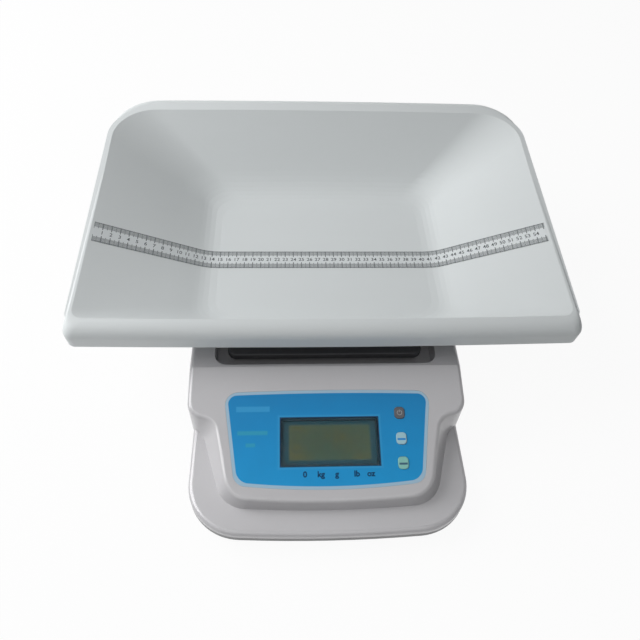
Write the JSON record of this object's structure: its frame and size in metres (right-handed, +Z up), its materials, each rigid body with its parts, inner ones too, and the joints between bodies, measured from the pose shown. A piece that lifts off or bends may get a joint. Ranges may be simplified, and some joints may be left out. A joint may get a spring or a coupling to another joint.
{
  "type": "digital baby scale",
  "caption": "Baby weighing scale: a deep rectangular lift-off tray with a rolled lip and printed length rule, over a base with a sloped blue display panel and keys.",
  "frame": {"origin": "under the middle of the whole scale's plan, on the surface it stands on", "axes": "+X along the tray to the user's right, +Y from the console to the back of the tray, +Z up"},
  "size_m": [0.5616, 0.558, 0.1737],
  "materials": {
    "tray_plastic": "satin, cool light grey",
    "tape_film": "printed film, pale grey with dark rules",
    "housing_plastic": "satin silver grey",
    "housing_under": "matt grey",
    "door_plastic": "matt grey",
    "rubber_dark": "matt",
    "panel_film": "blue printed film",
    "clear_plastic": "clear",
    "black_plastic": "matt black",
    "lcd_green": "grey-green display glass",
    "white_plastic": "diffusing white",
    "board_green": "solder mask",
    "alloy": "milled",
    "cast_alloy": "cast, painted dark",
    "steel": "zinc plated",
    "brass": "turned",
    "potting_white": "silicone",
    "key_dark": "satin",
    "key_blue": "satin",
    "key_green": "satin",
    "lead_jacket": "satin"
  },
  "bodies": {
    "base": {"lower_housing": "housing_under", "upper_housing": "housing_plastic", "housing_screws": "steel", "foot_inserts": "brass", "mounting_plate": "steel", "plate_screws": "steel", "spacer_low": "alloy", "cell_screws": "steel", "load_cell": "alloy", "cell_potting": "potting_white", "stop_screws": "steel", "stop_nuts": "steel", "panel_overlay": "panel_film", "lcd_window": "clear_plastic", "lcd_bezel": "black_plastic", "lcd_glass": "lcd_green", "lcd_backlight": "white_plastic", "main_board": "board_green", "board_screws": "steel", "board_plugs": "white_plastic", "board_parts": "black_plastic", "tact_switches": "black_plastic", "battery_cells": "steel", "battery_contacts": "steel", "dc_inlet": "black_plastic", "level_vial": "clear_plastic", "level_ring": "black_plastic", "load_cell_lead": "lead_jacket", "battery_lead": "lead_jacket", "dc_lead": "lead_jacket"},
    "platform": {"tray_support": "cast_alloy", "support_screws": "steel", "spacer_high": "alloy", "tray_caps": "rubber_dark"},
    "tray": {"tray": "tray_plastic", "measuring_tape": "tape_film"},
    "battery_door": {"battery_door": "door_plastic"},
    "key_power": {"key_power": "key_dark", "plunger_power": "white_plastic"},
    "key_tare": {"key_tare": "key_blue", "plunger_tare": "white_plastic"},
    "key_unit": {"key_unit": "key_green", "plunger_unit": "white_plastic"},
    "foot_front_right": {"foot_pad_front_right": "rubber_dark", "foot_stud_front_right": "steel"},
    "foot_front_left": {"foot_pad_front_left": "rubber_dark", "foot_stud_front_left": "steel"},
    "foot_back_right": {"foot_pad_back_right": "rubber_dark", "foot_stud_back_right": "steel"},
    "foot_back_left": {"foot_pad_back_left": "rubber_dark", "foot_stud_back_left": "steel"}
  },
  "joints": [
    {"name": "platform_travel", "type": "slide", "parent": "base", "child": "platform", "axis": [0, 0, -1], "range_m": [0, 0.0008], "stiffness_N_per_m": 250000, "deforming": ["load_cell"]},
    {"name": "tray_lift", "type": "slide", "parent": "platform", "child": "tray", "axis": [0, 0, 1], "range_m": [0, 0.06]},
    {"name": "key_power_press", "type": "slide", "parent": "base", "child": "key_power", "axis": [0, 0.2507, -0.9681], "range_m": [0, 0.0005], "stiffness_N_per_m": 4000},
    {"name": "key_tare_press", "type": "slide", "parent": "base", "child": "key_tare", "axis": [0, 0.2507, -0.9681], "range_m": [0, 0.0005], "stiffness_N_per_m": 4000},
    {"name": "key_unit_press", "type": "slide", "parent": "base", "child": "key_unit", "axis": [0, 0.2507, -0.9681], "range_m": [0, 0.0005], "stiffness_N_per_m": 4000},
    {"name": "foot_front_right_height", "type": "slide", "parent": "base", "child": "foot_front_right", "axis": [0, 0, -1], "range_m": [0, 0.008]},
    {"name": "foot_front_left_height", "type": "slide", "parent": "base", "child": "foot_front_left", "axis": [0, 0, -1], "range_m": [0, 0.008]},
    {"name": "foot_back_right_height", "type": "slide", "parent": "base", "child": "foot_back_right", "axis": [0, 0, -1], "range_m": [0, 0.008]},
    {"name": "foot_back_left_height", "type": "slide", "parent": "base", "child": "foot_back_left", "axis": [0, 0, -1], "range_m": [0, 0.008]},
    {"name": "battery_door_slide", "type": "slide", "parent": "base", "child": "battery_door", "axis": [0, -1, 0], "range_m": [0, 0.006]}
  ]
}
